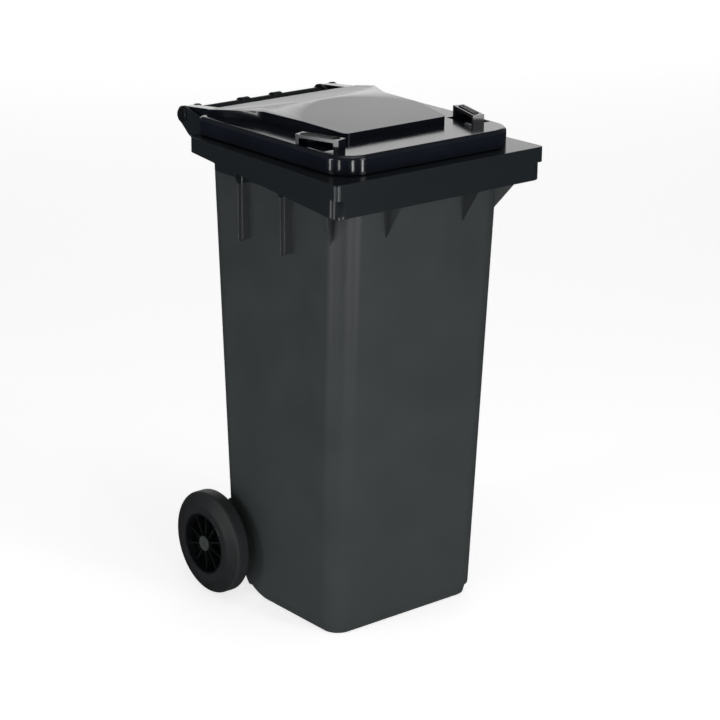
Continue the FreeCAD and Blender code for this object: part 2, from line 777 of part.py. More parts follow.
def lid_form(name, inset, low):
    """The lid as a solid, or with an inset the room under it."""
    body = new_body(name)
    top = margin_top - inset
    half = lid_half_width - inset
    front = lid_front + inset
    rear = lid_rear - inset
    plan = mirrored(
        [(half, front, size["lid_front_corner"] - inset), (half, rear, size["lid_rear_corner"] - inset)]
    )
    slab = extrude(body, name + "_slab", "XY_Plane", lambda s: outline(s, plan), low, top)
    if inset.value == 0:
        round_edges(
            body, name + "_edge", slab,
            lambda e: min(v.Z for v in e.Vertexes) > top.value - TOP_EDGE_BAND, size["lid_edge"],
        )
    dome_front = lid_front + size["dome_margin"]
    crest = dome_front + size["crest_run"]
    neck = crest + size["neck_run"]
    flare = neck + size["flare_run"]
    dome = mirrored(
        [
            (lid_half_width - size["dome_inset_front"] - inset, dome_front + inset, size["dome_corner"]),
            (lid_half_width - size["dome_inset_middle"] - inset, crest),
            (lid_half_width - size["dome_inset_neck"] - inset, neck),
            (fork_outer - size["flare_inset"] - inset, flare),
            (fork_outer - size["flare_inset"] - inset, rear),
        ]
    )
    crest_top = top + size["dome_rise"]
    crown_top = crest_top + size["dome_crown"]
    above = crown_top + OVERSHOOT
    dome_low = top - size["lid_edge"] - OVERSHOOT
    extrude(body, name + "_dome", "XY_Plane", lambda s: outline(s, dome), dome_low, crown_top)
    # The panel is crowned from side to side, and planes slope it to the front and the back.
    half = lid_half_width
    crown_half = half - size["dome_inset_middle"]
    crown_radius = crown_half * crown_half / (size["dome_crown"] * 2) - inset
    fall = half * ARC_SHARE / crown_radius
    ridge = crown_top + crown_radius * fall * fall / 2
    crown = [
        (half, ridge - fall * half),
        (half, above),
        (-half, above),
        (-half, ridge - fall * half),
        (0, ridge, crown_radius),
    ]
    extrude(
        body, name + "_crown", "XZ_Plane", lambda s: outline(s, crown), dome_front - OVERSHOOT,
        rear + OVERSHOOT, cut=True,
    )
    pitch = (size["dome_rise"] - size["dome_front_rise"]) / size["crest_run"]
    front_slope = [
        (dome_front - OVERSHOOT, top + size["dome_front_rise"]),
        (neck, top + size["dome_front_rise"] + pitch * (size["crest_run"] + size["neck_run"])),
        (neck, above + OVERSHOOT),
        (dome_front - OVERSHOOT, above + OVERSHOOT),
    ]
    rear_slope = [
        (neck, crown_top),
        (rear + OVERSHOOT, top + size["dome_rear_rise"]),
        (rear + OVERSHOOT, above),
        (neck, above),
    ]
    for label, slope in (("front_slope", front_slope), ("rear_slope", rear_slope)):
        extrude(body, name + "_" + label, "YZ_Plane", lambda s: outline(s, slope), -half, half, cut=True)
    return body


def make_hinge_arms():
    """Two arms that reach from the lid to the hinge axis, each with an eye."""
    arms = new_body("hinge_arms")
    root = lid_rear - size["arm_root"]
    low = lid_low + size["lid_gap"]
    arm = [
        (root, margin_top - size["lid_wall"]),
        (mouth_rear + size["wall"], mouth_top + size["wall"]),
        (lid_rear - size["lid_wall"] / 2, low),
        (hinge_y, hinge_z - size["arm_radius"]),
        (hinge_y, hinge_z + size["arm_radius"]),
        (root, margin_top + size["arm_rise"]),
    ]
    for side in (-1, 1):
        near = arm_inner if side > 0 else -(arm_inner + size["arm_width"])
        far = near + size["arm_width"]
        extrude(arms, "arm", "YZ_Plane", lambda s: outline(s, arm), near, far)
        extrude(arms, "eye", "YZ_Plane", lambda s: disc(s, hinge_y, hinge_z, size["arm_radius"]), near, far)
    reach = fork_outer
    extrude(
        arms, "eye_bore", "YZ_Plane",
        lambda s: disc(s, hinge_y, hinge_z, size["pin_radius"] + size["running_gap"]),
        -reach, reach, cut=True,
    )
    return arms


def make_lid():
    outside = lid_form("lid_outside", ZERO, lid_low)
    inside = lid_form("lid_inside", size["lid_wall"], lid_low - OVERSHOOT)
    shell = cut("lid_shell", outside, inside)
    pieces = [shell]
    gaps = []
    pocket_low = margin_top - size["grip_pocket_depth"]
    wall = size["lid_wall"]
    for side in (-1, 1):
        x = (lid_half_width - size["grip_inset"]) * side
        y = lid_front + size["grip_setback"]
        # Front ends of the grips lean towards the middle of the lid.
        angle = Size.of(360) - size["grip_turn"] if side > 0 else size["grip_turn"]
        pieces.append(
            block(
                "grip_tub", size["grip_pocket_width"] + wall * 2,
                size["grip_length"] - size["grip_leg"] * 2 + wall * 2,
                size["grip_pocket_depth"], x, y, pocket_low - wall,
            )
        )
        pieces.append(
            block(
                "grip_bridge", size["grip_width"], size["grip_length"],
                size["grip_rise"] + OVERSHOOT, x, y, margin_top - OVERSHOOT, angle,
            )
        )
        gap_height = size["grip_pocket_depth"] + size["grip_rise"] - size["grip_bar"]
        gaps.append(
            block(
                "finger_gap", size["grip_pocket_width"], size["grip_length"] - size["grip_leg"] * 2,
                gap_height, x, y, pocket_low,
            )
        )
    pieces.append(make_hinge_arms())
    return cut("lid", fuse("lid_with_grips", pieces), fuse("finger_gaps", gaps))


# ---------------------------------------------------------------- hinge pins and running gear


def make_hinge_pin(name, side):
    body = new_body(name)
    head = size["pin_head"]
    length = fork_outer - fork_inner + size["pin_tip"]
    turn(
        body, "pin_form",
        [
            (-length, ZERO),
            (head, ZERO),
            (head, size["pin_head_radius"], size["pin_head_edge"]),
            (ZERO, size["pin_head_radius"]),
            (ZERO, size["pin_radius"]),
            (-length, size["pin_radius"], size["pin_tip_edge"]),
        ],
    )
    place(body, side, fork_outer, hinge_y, hinge_z)
    return body


def make_axle():
    body = new_body("axle")
    end = wheel_middle + hub_face - size["cap_plug"]
    groove = wheel_middle - size["lock_offset"]
    half_groove = size["lock_radius"] + size["lock_groove_gap"]
    radius = size["axle_radius"]
    deep = radius - size["lock_groove"]
    right = [
        (end, radius, size["axle_edge"]),
        (groove + half_groove, radius),
        (groove + half_groove, deep),
        (groove - half_groove, deep),
        (groove - half_groove, radius),
    ]
    left = [(-Size.of(c[0]),) + tuple(c[1:]) for c in reversed(right)]
    turn(body, "axle_form", [(-end, ZERO), (end, ZERO)] + right + left)
    place(body, 1, ZERO, axle_y, axle_z)
    return body


def make_spacer(name, side):
    """Sleeve that keeps the wheel off the container."""
    body = new_body(name)
    bore = size["axle_radius"] + size["running_gap"]
    outside = size["axle_radius"] + size["spacer_wall"]
    edge = size["sleeve_edge"]
    start = size["clearance"]
    end = wheel_middle - size["hub_half_width"] - lug_outer - size["clearance"]
    turn(
        body, "sleeve",
        [(start, bore), (end, bore), (end, outside, edge), (start, outside, edge)],
    )
    place(body, side, lug_outer, axle_y, axle_z)
    return body


def make_hub(name, side):
    """Spoked plastic hub, with a tower on its inner side for the lock pin."""
    body = new_body(name)
    half = size["hub_half_width"]
    rim = size["rim_radius"]
    inside = rim - size["rim_wall"]
    boss = hub_boss_radius
    bore = size["axle_radius"] + size["running_gap"]
    web = size["web_wall"] / 2
    face = hub_face
    recess = face - size["cap_plug"] - size["clearance"]
    thin = inside + size["rim_draft"]
    edge = size["rim_edge"]
    turn(
        body, "hub_form",
        [
            (-half, bore),
            (recess, bore),
            (recess, cap_bore),
            (face, cap_bore),
            (face, boss),
            (web, boss),
            (web, inside),
            (half, thin),
            (half, rim, edge),
            (-half, rim, edge),
            (-half, thin),
            (-web, inside),
            (-web, boss),
            (-half, boss),
        ],
    )
    spoke_end = half - size["spoke_recess"]
    bite = size["spoke_bite"]
    plate = [
        (-spoke_end, boss - bite),
        (spoke_end, boss - bite),
        (spoke_end - size["spoke_slope"], inside + bite),
        (-spoke_end, inside + bite),
    ]
    spoke = extrude(
        body, "spoke", "XZ_Plane", lambda s: outline(s, plate),
        -(size["spoke_wall"] / 2), size["spoke_wall"] / 2,
    )
    pattern = body.newObject("PartDesign::PolarPattern", "spokes")
    pattern.Originals = [spoke]
    pattern.Axis = (origin_plane(body, "X_Axis"), [""])
    pattern.Angle = 360
    bind(pattern, "Occurrences", size["spoke_count"])
    body.Tip = pattern
    x = -size["lock_offset"]
    extrude(
        body, "lock_tower", "XY_Plane", lambda s: disc(s, x, ZERO, size["lock_tower_radius"]),
        boss - size["lock_groove"], lock_tower_top,
    )
    guide = size["lock_radius"] + size["running_gap"]
    extrude(body, "guide_bore", "XY_Plane", lambda s: disc(s, x, ZERO, guide), ZERO, boss, cut=True)
    room = size["lock_head_radius"] + size["running_gap"] * 2
    extrude(
        body, "spring_room", "XY_Plane", lambda s: disc(s, x, ZERO, room),
        boss - size["lock_seat"], lock_tower_top - size["lock_roof"], cut=True,
    )
    place(body, side, wheel_middle, axle_y, axle_z)
    return body


def make_tyre(name, side):
    body = new_body(name)
    half = size["hub_half_width"]
    seat = size["rim_radius"] + size["running_gap"]
    bead = size["rim_radius"] + size["bead_height"]
    top = size["wheel_radius"]
    shoulder = size["tread_half_width"] + size["shoulder_slope"]
    profile = [
        (-half, seat),
        (half, seat),
        (half, bead, size["bead_radius"]),
        (shoulder, top, size["shoulder_radius"]),
        (-shoulder, top, size["shoulder_radius"]),
        (-half, bead, size["bead_radius"]),
    ]
    turn(body, "tyre_form", profile)
    place(body, side, wheel_middle, axle_y, axle_z)
    return body


def make_cap(name, side):
    """Push-in cap that closes the hub."""
    body = new_body(name)
    face = hub_face
    plug = cap_bore - size["running_gap"]
    start = face - size["cap_plug"]
    end = face + size["cap_wall"]
    flange = [
        (start, ZERO),
        (end, ZERO),
        (end, cap_radius, size["cap_edge"]),
        (face, cap_radius),
        (face, plug),
        (start, plug, size["plug_edge"]),
    ]
    turn(body, "cap_form", flange)
    place(body, side, wheel_middle, axle_y, axle_z)
    return body


def lock_levels():
    """Heights above the axle: the lock pin's tip, the underside and top of its head."""
    tip = size["axle_radius"] - size["lock_groove"] + size["clearance"]
    shoulder = hub_boss_radius - size["lock_seat"] + size["clearance"]
    head_top = shoulder + size["lock_head"]
    return tip, shoulder, head_top


def make_lock_pin(name, side):
    body = new_body(name)
    tip, shoulder, head_top = lock_levels()
    extrude(body, "shank", "XY_Plane", lambda s: disc(s, ZERO, ZERO, size["lock_radius"]), tip, head_top)
    extrude(
        body, "head", "XY_Plane", lambda s: disc(s, ZERO, ZERO, size["lock_head_radius"]), shoulder, head_top
    )
    place(body, side, wheel_middle - size["lock_offset"], axle_y, axle_z)
    return body


def make_lock_spring(name, side):
    """Coil spring between the head of the lock pin and the roof of its tower."""
    body = new_body(name)
    head_top = lock_levels()[-1]
    roof = lock_tower_top - size["lock_roof"]
    wire = size["spring_wire"] / 2
    low = head_top + size["clearance"] + wire
    rise = roof - size["clearance"] - wire - low
    sketch = new_sketch(body, "wire_section", "XZ_Plane", ZERO)
    disc(sketch, size["spring_radius"], low, wire)
    coil = body.newObject("PartDesign::AdditiveHelix", "coil")
    coil.Profile = sketch
    coil.ReferenceAxis = (sketch, ["V_Axis"])
    coil.Mode = 2
    bind(coil, "Height", rise)
    bind(coil, "Turns", size["spring_turns"])
    place(body, side, wheel_middle - size["lock_offset"], axle_y, axle_z)
    return body


def make_all():
    parts = {"bin_body": make_container(), "lid": make_lid(), "axle": make_axle()}
    for word, side in (("left", -1), ("right", 1)):
        for kind, maker in (
            ("hinge_pin", make_hinge_pin),
            ("axle_spacer", make_spacer),
            ("wheel_hub", make_hub),
            ("tyre", make_tyre),
            ("hub_cap", make_cap),
            ("lock_pin", make_lock_pin),
            ("lock_spring", make_lock_spring),
        ):
            name = "%s_%s" % (kind, word)
            parts[name] = maker(name, side)
    return parts


def check(parts):
    """Stop if any object failed or any sub-part is empty or invalid."""
    for thing in doc.Objects:
        if "Invalid" in thing.State or "Error" in thing.State:
            raise RuntimeError("%s failed: %s" % (thing.Label, thing.State))
    for name, thing in parts.items():
        if thing.Shape.isNull() or not thing.Shape.isValid():
            raise RuntimeError("%s has no valid shape" % name)


parts = make_all()
for name, thing in parts.items():
    thing.Label = name
doc.recompute()
check(parts)
os.makedirs("parts", exist_ok=True)
for name, thing in parts.items():
    thing.Shape.exportStep("parts/%s.step" % name)
    box = thing.Shape.BoundBox
    print("%-20s solids %d  volume %9.0f  x %.1f..%.1f  y %.1f..%.1f  z %.1f..%.1f" % (
        name, len(thing.Shape.Solids), thing.Shape.Volume,
        box.XMin, box.XMax, box.YMin, box.YMax, box.ZMin, box.ZMax,
    ))
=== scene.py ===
import math

import bmesh
import bpy
from mathutils import Matrix, Vector


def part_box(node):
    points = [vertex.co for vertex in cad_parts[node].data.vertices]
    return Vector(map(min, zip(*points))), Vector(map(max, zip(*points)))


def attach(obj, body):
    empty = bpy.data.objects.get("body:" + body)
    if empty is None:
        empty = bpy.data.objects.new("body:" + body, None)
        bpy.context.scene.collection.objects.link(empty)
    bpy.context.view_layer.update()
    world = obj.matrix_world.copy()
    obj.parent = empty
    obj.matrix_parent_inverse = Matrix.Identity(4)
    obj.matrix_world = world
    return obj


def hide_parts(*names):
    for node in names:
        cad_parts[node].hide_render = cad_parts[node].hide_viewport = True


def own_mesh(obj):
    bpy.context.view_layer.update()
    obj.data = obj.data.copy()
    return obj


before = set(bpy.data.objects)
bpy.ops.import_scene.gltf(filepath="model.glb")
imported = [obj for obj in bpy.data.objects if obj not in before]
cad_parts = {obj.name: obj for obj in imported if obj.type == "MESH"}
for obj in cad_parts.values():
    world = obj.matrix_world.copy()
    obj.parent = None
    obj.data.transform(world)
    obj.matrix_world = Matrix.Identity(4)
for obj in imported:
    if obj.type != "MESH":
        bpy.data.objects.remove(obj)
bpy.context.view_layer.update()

MM = 0.001

# Places taken from the frame.
wheel_low, wheel_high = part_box("tyre_left")
AXLE_Y = (wheel_low.y + wheel_high.y) / 2
AXLE_Z = (wheel_low.z + wheel_high.z) / 2
lid_low, lid_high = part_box("lid")
LID_SIDE = lid_high.x
LID_FRONT = lid_low.y

# Places of features inside a node, which the frame's boxes don't give.
COLLAR_LOW = 823 * MM
COLLAR_STEP = 857 * MM
MARGIN_TOP = 920 * MM
PANEL_LOW = 922.5 * MM
PANEL_SIDE = 150 * MM
PANEL_FRONT = -150 * MM
PANEL_REAR = 135 * MM
GRIP_X = 171.5 * MM
GRIP_Y = -144.4 * MM
GRIP_TOP = 938 * MM
GRIP_TURN = math.radians(17.6)

# Ribs on a grip, which are centred on its top face.
RIDGE_STEP = 5.5 * MM
RIDGE_LENGTH = 70 * MM
RIDGE_WIDTH = 3.2 * MM
RIDGE_HEIGHT = 4 * MM
RIDGE_ROUND = 0.45

# Rounding of moulded edges. The lid's three are limited to far less by short edges.
BODY_ROUND = 1.2 * MM
MARGIN_ROUND = 6 * MM
PANEL_ROUND = 3.5 * MM
DETAIL_ROUND = 0.9 * MM
SHARP_ANGLE = math.radians(35)
SMOOTH_ANGLE = math.radians(32)
BODY_FLAT_ANGLE = math.radians(0.6)
LID_FLAT_ANGLE = math.radians(0.4)
MERGE_DISTANCE = 0.01 * MM


# ---------------------------------------------------------------- modelling helpers


def work_on(piece):
    """Select one object alone and make it the active one."""
    bpy.ops.object.select_all(action="DESELECT")
    piece.select_set(True)
    bpy.context.view_layer.objects.active = piece


def pick(kind, test):
    """In edit mode, select the vertices, edges or faces that pass a test."""
    bpy.ops.mesh.select_mode(type=kind)
    bpy.ops.mesh.select_all(action="DESELECT")
    mesh = bmesh.from_edit_mesh(bpy.context.object.data)
    for element in {"VERT": mesh.verts, "EDGE": mesh.edges, "FACE": mesh.faces}[kind]:
        if test(element):
            element.select_set(True)
    mesh.select_flush_mode()
    bmesh.update_edit_mesh(bpy.context.object.data)


def modifier(piece, kind, **settings):
    """Add a modifier with its settings and apply it."""
    work_on(piece)
    made = piece.modifiers.new(kind.lower(), kind)
    for name, value in settings.items():
        setattr(made, name, value)
    bpy.ops.object.modifier_apply(modifier=made.name)


def skin_of(node, name):
    """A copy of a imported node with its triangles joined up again."""
    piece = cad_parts[node].copy()
    piece.data = piece.data.copy()
    piece.name = piece.data.name = name
    bpy.context.scene.collection.objects.link(piece)
    work_on(piece)
    bpy.ops.object.mode_set(mode="EDIT")
    bpy.ops.mesh.select_all(action="SELECT")
    bpy.ops.mesh.remove_doubles(threshold=MERGE_DISTANCE)
    bpy.ops.object.mode_set(mode="OBJECT")
    return piece


def join_flat_faces(piece, angle):
    """Turn neighbouring faces that lie nearly in one plane into one face."""
    work_on(piece)
    bpy.ops.object.mode_set(mode="EDIT")
    bpy.ops.mesh.select_all(action="SELECT")
    bpy.ops.mesh.dissolve_limited(angle_limit=angle)
    bpy.ops.object.mode_set(mode="OBJECT")


def sharp(edge):
    """Whether two faces meet at an edge that isn't part of a round surface."""
    return len(edge.link_faces) == 2 and edge.calc_face_angle(0) > SHARP_ANGLE


def round_edges(piece, radius, segments, test, clamp=True):
    """Round the sharp edges of a piece that pass a test."""
    work_on(piece)
    bpy.ops.object.mode_set(mode="EDIT")
    pick("EDGE", lambda edge: sharp(edge) and test(edge))
    bpy.ops.mesh.bevel(offset=radius, segments=segments, profile=0.5, clamp_overlap=clamp)
    bpy.ops.object.mode_set(mode="OBJECT")


def smooth(piece):
    """Shade round stretches as smooth, and keep flat faces flat up to their rounded edges."""
    work_on(piece)
    bpy.ops.object.shade_smooth_by_angle(angle=SMOOTH_ANGLE)
    modifier(piece, "WEIGHTED_NORMAL", keep_sharp=True)


# ---------------------------------------------------------------- materials


def colour(text):
    """Linear colour of an sRGB hex value."""
    parts = [int(text[i : i + 2], 16) / 255 for i in (1, 3, 5)]
    return [c / 12.92 if c <= 0.04045 else ((c + 0.055) / 1.055) ** 2.4 for c in parts] + [1.0]


def add(tree, kind, settings=None, **links):
    """Add a node, set its sockets and properties, and link its inputs."""
    node = tree.nodes.new("ShaderNode" + kind)
    for name, value in (settings or {}).items():
        if isinstance(name, int) or name in node.inputs:
            node.inputs[name].default_value = value
        elif name == "stops":
            ramp = node.color_ramp.elements
            while len(ramp) < len(value):
                ramp.new(1.0)
            for stop, (place, tint) in zip(ramp, value):
                stop.position = place
                stop.color = tint
        else:
            setattr(node, name, value)
    for name, socket in links.items():
        key = int(name[1:]) if name[1:].isdigit() else name.replace("_", " ")
        tree.links.new(socket, node.inputs[key])
    return node


def new_material(name):
    """An empty node material and its tree."""
    material = bpy.data.materials.new(name)
    material.use_nodes = True
    material.node_tree.nodes.clear()
    return material, material.node_tree


def grey(level):
    """A neutral linear colour."""
    return [level, level, level, 1.0]


def finish_material(tree, shader):
    """Send a shader to the material's output."""
    out = tree.nodes.new("ShaderNodeOutputMaterial")
    tree.links.new(shader.outputs[0], out.inputs["Surface"])


PLASTIC_IOR = 1.5


def noise(tree, place, size, detail):
    """A noise pattern whose features are about this size in metres."""
    return add(tree, "TexNoise", {"Scale": 1 / size, "Detail": detail}, Vector=place).outputs["Fac"]


def two_tints(tree, pattern, dark, light):
    """A colour that runs from dark to light over the middle of a pattern's range."""
    stops = [(0.3, colour(dark)), (0.7, colour(light))]
    return add(tree, "ValToRGB", {"stops": stops}, Fac=pattern).outputs["Color"]


def relief(tree, pattern, depth):
    """A normal from a pattern of this depth in metres."""
    return add(tree, "Bump", {"Distance": depth, "Strength": 1.0}, Height=pattern).outputs["Normal"]


def moulded_plastic(name, light, dark, roughness, grain_mm, grain_depth_mm, mottle_mm):
    """Injection-moulded plastic: fine tool grain and slow flow mottling in tint and gloss."""
    material, tree = new_material(name)
    place = add(tree, "TexCoord").outputs["Object"]
    mottle = noise(tree, place, mottle_mm * MM, 3.0)
    grain = noise(tree, place, grain_mm * MM, 4.0)
    spread = {"To Min": roughness * 0.85, "To Max": roughness * 1.2}
    shader = add(
        tree, "BsdfPrincipled", {"IOR": PLASTIC_IOR},
        Base_Color=two_tints(tree, mottle, dark, light),
        Roughness=add(tree, "MapRange", spread, Value=mottle).outputs["Result"],
        Normal=relief(tree, grain, grain_depth_mm * MM),
    )
    finish_material(tree, shader)
    return material


COLLAR_BLEND = 1.5 * MM
CONTAINER_MOTTLE = 90 * MM
CONTAINER_GRAIN = 1.2 * MM
CONTAINER_GRAIN_DEPTH = 0.025 * MM
# Painted floor-bounce light: how far the walls are mixed towards a paler grey at the foot.
PAINTED_BOUNCE_AT_FOOT = 0.35


def container_plastic(name):
    """The container's plastic: satin walls with a tool grain and painted floor-bounce light towards the
    foot, and a smoother collar whose darker tint is painted shade.
    """
    material, tree = new_material(name)
    place = add(tree, "TexCoord").outputs["Object"]
    height = add(tree, "SeparateXYZ", Vector=place).outputs["Z"]
    edge = COLLAR_LOW - 0.5 * MM
    rise = {"From Min": edge - COLLAR_BLEND, "From Max": edge + COLLAR_BLEND}
    collar = add(tree, "MapRange", rise, Value=height).outputs["Result"]
    # Painted floor-bounce light: the walls are painted paler from the collar down to the foot.
    fall = {"From Min": 0.0, "From Max": COLLAR_LOW, "To Min": 1.0, "To Max": 0.0}
    lower = add(tree, "MapRange", fall, Value=height).outputs["Result"]
    painted_bounce = add(tree, "Math", {"operation": "MULTIPLY", 1: PAINTED_BOUNCE_AT_FOOT}, _0=lower).outputs["Value"]
    mottle = noise(tree, place, CONTAINER_MOTTLE, 3.0)
    wall = two_tints(tree, mottle, "#303435", "#35393a")
    paler = add(tree, "MixRGB", {"Color2": colour("#474c4c")}, Fac=painted_bounce, Color1=wall).outputs["Color"]
    # Painted shade: the collar's tint is darkened for the dark room it reflects; its smoother surface, set
    # by the roughness below, is real.
    tint = add(tree, "MixRGB", {"Color2": colour("#1c2124")}, Fac=collar, Color1=paler).outputs["Color"]
    walls = add(tree, "MapRange", {"To Min": 0.36, "To Max": 0.48}, Value=mottle).outputs["Result"]
    roughness = add(tree, "MapRange", {"To Max": 0.22}, Value=collar, To_Min=walls).outputs["Result"]
    grain = noise(tree, place, CONTAINER_GRAIN, 4.0)
    shader = add(
        tree, "BsdfPrincipled", {"IOR": PLASTIC_IOR},
        Base_Color=tint, Roughness=roughness, Normal=relief(tree, grain, CONTAINER_GRAIN_DEPTH),
    )
    finish_material(tree, shader)
    return material


RING_PITCH = 2.5 * MM
RING_DEPTH = 0.05 * MM
RUBBER_SPECKS = 1.5 * MM
RUBBER_MOTTLE = 30 * MM
TREAD_START = 95.5 * MM
TREAD_FULL = 99.5 * MM
TREAD_DUST = 0.4


def wheel_rubber(name):
    """Moulded tyre rubber: matt, with fine turning rings round the axle and a dusty tread."""
    material, tree = new_material(name)
    place = add(tree, "TexCoord").outputs["Object"]
    to_axle = {"operation": "MULTIPLY_ADD", 1: (0, 1, 1), 2: (0, -AXLE_Y, -AXLE_Z)}
    centred = add(tree, "VectorMath", to_axle, _0=place).outputs["Vector"]
    radius = add(tree, "VectorMath", {"operation": "LENGTH"}, _0=centred).outputs["Value"]
    to_turns = {"operation": "MULTIPLY", 1: 2 * math.pi / RING_PITCH}
    turns = add(tree, "Math", to_turns, _0=radius).outputs["Value"]
    rings = add(tree, "Math", {"operation": "SINE"}, _0=turns).outputs["Value"]
    specks = noise(tree, place, RUBBER_SPECKS, 4.0)
    surface = add(tree, "MixRGB", {"Fac": 0.5}, Color1=rings, Color2=specks).outputs["Color"]
    tint = two_tints(tree, noise(tree, place, RUBBER_MOTTLE, 3.0), "#191b1d", "#202224")
    tread = {"From Min": TREAD_START, "From Max": TREAD_FULL, "To Max": TREAD_DUST}
    worn = add(tree, "MapRange", tread, Value=radius).outputs["Result"]
    paler = add(tree, "MixRGB", {"Color2": colour("#3a3c3d")}, Fac=worn, Color1=tint).outputs["Color"]
    shader = add(
        tree, "BsdfPrincipled", {"Roughness": 0.55, "IOR": PLASTIC_IOR},
        Base_Color=paler, Normal=relief(tree, surface, RING_DEPTH),
    )
    finish_material(tree, shader)
    return material


DRAWING_PITCH = 0.8 * MM
DRAWING_DEPTH = 0.01 * MM
DRAWING_STRETCH = 0.05


def plated_steel(name):
    """Zinc-plated steel: bright, with fine drawing lines along the bar."""
    material, tree = new_material(name)
    place = add(tree, "TexCoord").outputs["Object"]
    stretch = {"operation": "MULTIPLY", 1: (DRAWING_STRETCH, 1, 1)}
    drawn = add(tree, "VectorMath", stretch, _0=place).outputs["Vector"]
    lines = noise(tree, drawn, DRAWING_PITCH, 3.0)
    shader = add(
        tree, "BsdfPrincipled", {"Metallic": 1.0, "Roughness": 0.3},
        Base_Color=two_tints(tree, lines, "#a9abae", "#c4c6c8"), Normal=relief(tree, lines, DRAWING_DEPTH),
    )
    finish_material(tree, shader)
    return material


# Moulded HDPE of the container: dark anthracite satin walls that soften reflections into broad
# gradients, paler towards the foot with painted floor-bounce light, and a nearly black collar that
# shows glints, its darkness painted shade for the dark room it reflects.
container_hdpe = container_plastic("container_moulded_hdpe")
# Moulded HDPE of the lid from a polished mould: blue-black and glossy, with very faint flow waves.
lid_hdpe = moulded_plastic("lid_polished_hdpe", "#161b24", "#12161e", 0.14, 9.0, 0.01, 70)
# Glossy black moulding of spokes, spacers and pins: keeps crisp thin highlights on its edges.
black_plastic = moulded_plastic("black_moulded_plastic", "#141618", "#101214", 0.24, 1.5, 0.01, 20)
# Solid rubber of the tyres: matt and soft against the glossy hub, with faint rings and a dusty tread.
rubber = wheel_rubber("tyre_solid_rubber")
# Grey-green moulded caps: a dull, slightly lighter disc in the middle of each wheel.
cap_plastic = moulded_plastic("cap_moulded_plastic", "#3d433f", "#363b38", 0.4, 1.0, 0.02, 12)
# Zinc-plated steel of the axle and locks: the only metal, cold and bright where it shows.
steel = plated_steel("zinc_plated_steel")

# The right and the left node of a pair have the same finish.
FINISHES = {
    "bin_body": container_hdpe,
    "lid": lid_hdpe,
    "axle": steel,
    "hinge_pin": black_plastic,
    "axle_spacer": black_plastic,
    "wheel_hub": black_plastic,
    "tyre": rubber,
    "hub_cap": cap_plastic,
    "lock_pin": steel,
    "lock_spring": steel,
}
for node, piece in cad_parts.items():
    kind = node.removesuffix("_left").removesuffix("_right")
    piece.data.materials.clear()
    piece.data.materials.append(FINISHES[kind])


# ---------------------------------------------------------------- container


def at_collar_step(edge):
    """Whether an edge touches the step between the collar's tiers, where rounding makes spikes."""
    return any(abs(v.co.z - COLLAR_STEP) < 1 * MM for v in edge.verts)


def round_body():
    """The container with its moulded edges rounded, in place of the sharp packed one."""
    body = skin_of("bin_body", "container_body")
    join_flat_faces(body, BODY_FLAT_ANGLE)
    round_edges(body, BODY_ROUND, 2, lambda edge: not at_collar_step(edge), clamp=False)
    smooth(body)
    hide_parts("bin_body")
    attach(body, "container")


# ---------------------------------------------------------------- lid


def ridge(centre, angle):
    """One raised rib of a grip: a bar with its upper edges rounded."""
    bpy.ops.object.select_all(action="DESELECT")
    bpy.ops.mesh.primitive_cube_add(size=1, location=(0, 0, 0))
    piece = bpy.context.object
    bpy.ops.object.mode_set(mode="EDIT")
    bpy.ops.mesh.select_all(action="SELECT")
    bpy.ops.transform.resize(value=(RIDGE_WIDTH, RIDGE_LENGTH, RIDGE_HEIGHT), center_override=(0, 0, 0))
    pick("EDGE", lambda edge: all(v.co.z > 0 for v in edge.verts))
    bpy.ops.mesh.bevel(offset=RIDGE_WIDTH * RIDGE_ROUND, segments=3, profile=0.5)
    bpy.ops.mesh.select_all(action="SELECT")
    bpy.ops.transform.rotate(value=angle, orient_axis="Z", center_override=(0, 0, 0))
    bpy.ops.transform.translate(value=centre)
    bpy.ops.mesh.normals_make_consistent(inside=False)
    bpy.ops.object.mode_set(mode="OBJECT")
    return piece


def add_ridges(lid, side):
    """Join three raised ribs to the grip of one side."""
    angle = GRIP_TURN * side
    grip = Vector((GRIP_X * side, GRIP_Y, GRIP_TOP))
    for along in (-1, 0, 1):
        shift = Matrix.Rotation(angle, 3, "Z") @ Vector((along * RIDGE_STEP, 0, 0))
        bar = ridge(grip + shift, angle)
        modifier(lid, "BOOLEAN", operation="UNION", solver="EXACT", object=bar)
        bpy.data.objects.remove(bar)


def on_margin(edge):
    """Whether an edge lies in a band along the sides and the front of the lid's flat margin."""
    band = 8 * MM
    return all(
        abs(v.co.z - MARGIN_TOP) < 2 * MM
        and (abs(v.co.x) > LID_SIDE - band or v.co.y < LID_FRONT + band)
        for v in edge.verts
    )


def on_panel(edge):
    """Whether an edge lies on the raised panel, away from the grips and the arms."""
    return all(
        abs(v.co.x) < PANEL_SIDE and PANEL_FRONT < v.co.y < PANEL_REAR and v.co.z > PANEL_LOW
        for v in edge.verts
    )


def round_lid():
    """The lid with ribs on its two grips."""
    lid = skin_of("lid", "lid_shell")
    join_flat_faces(lid, LID_FLAT_ANGLE)
    add_ridges(lid, -1)
    add_ridges(lid, 1)
    # Short edges limit these three roundings to under 0.1 mm, so the lid's edges still look sharp.
    # What they add mainly changes the shading beside an edge.
    round_edges(lid, MARGIN_ROUND, 4, on_margin)
    round_edges(lid, PANEL_ROUND, 4, on_panel)
    round_edges(lid, DETAIL_ROUND, 2, lambda edge: True)
    smooth(lid)
    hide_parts("lid")
    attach(lid, "lid")


# ---------------------------------------------------------------- locks


def release_spring(side):
    """The coil spring of a wheel lock, which moves with its wheel."""
    spring = skin_of("lock_spring_" + side, "release_spring_" + side)
    bpy.ops.object.shade_smooth_by_angle(angle=SMOOTH_ANGLE)
    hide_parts("lock_spring_" + side)
    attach(spring, "wheel_" + side)
    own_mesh(spring)


round_body()
round_lid()
release_spring("left")
release_spring("right")

# ---------------------------------------------------------------- camera, floor and light


LENS_MM = 118.53
SENSOR_MM = 36
CAMERA_PLACE = (-2.65697, -3.29695, 1.87484)
YAW, PITCH, ROLL = 0.6854, 0.3234, 0.0068


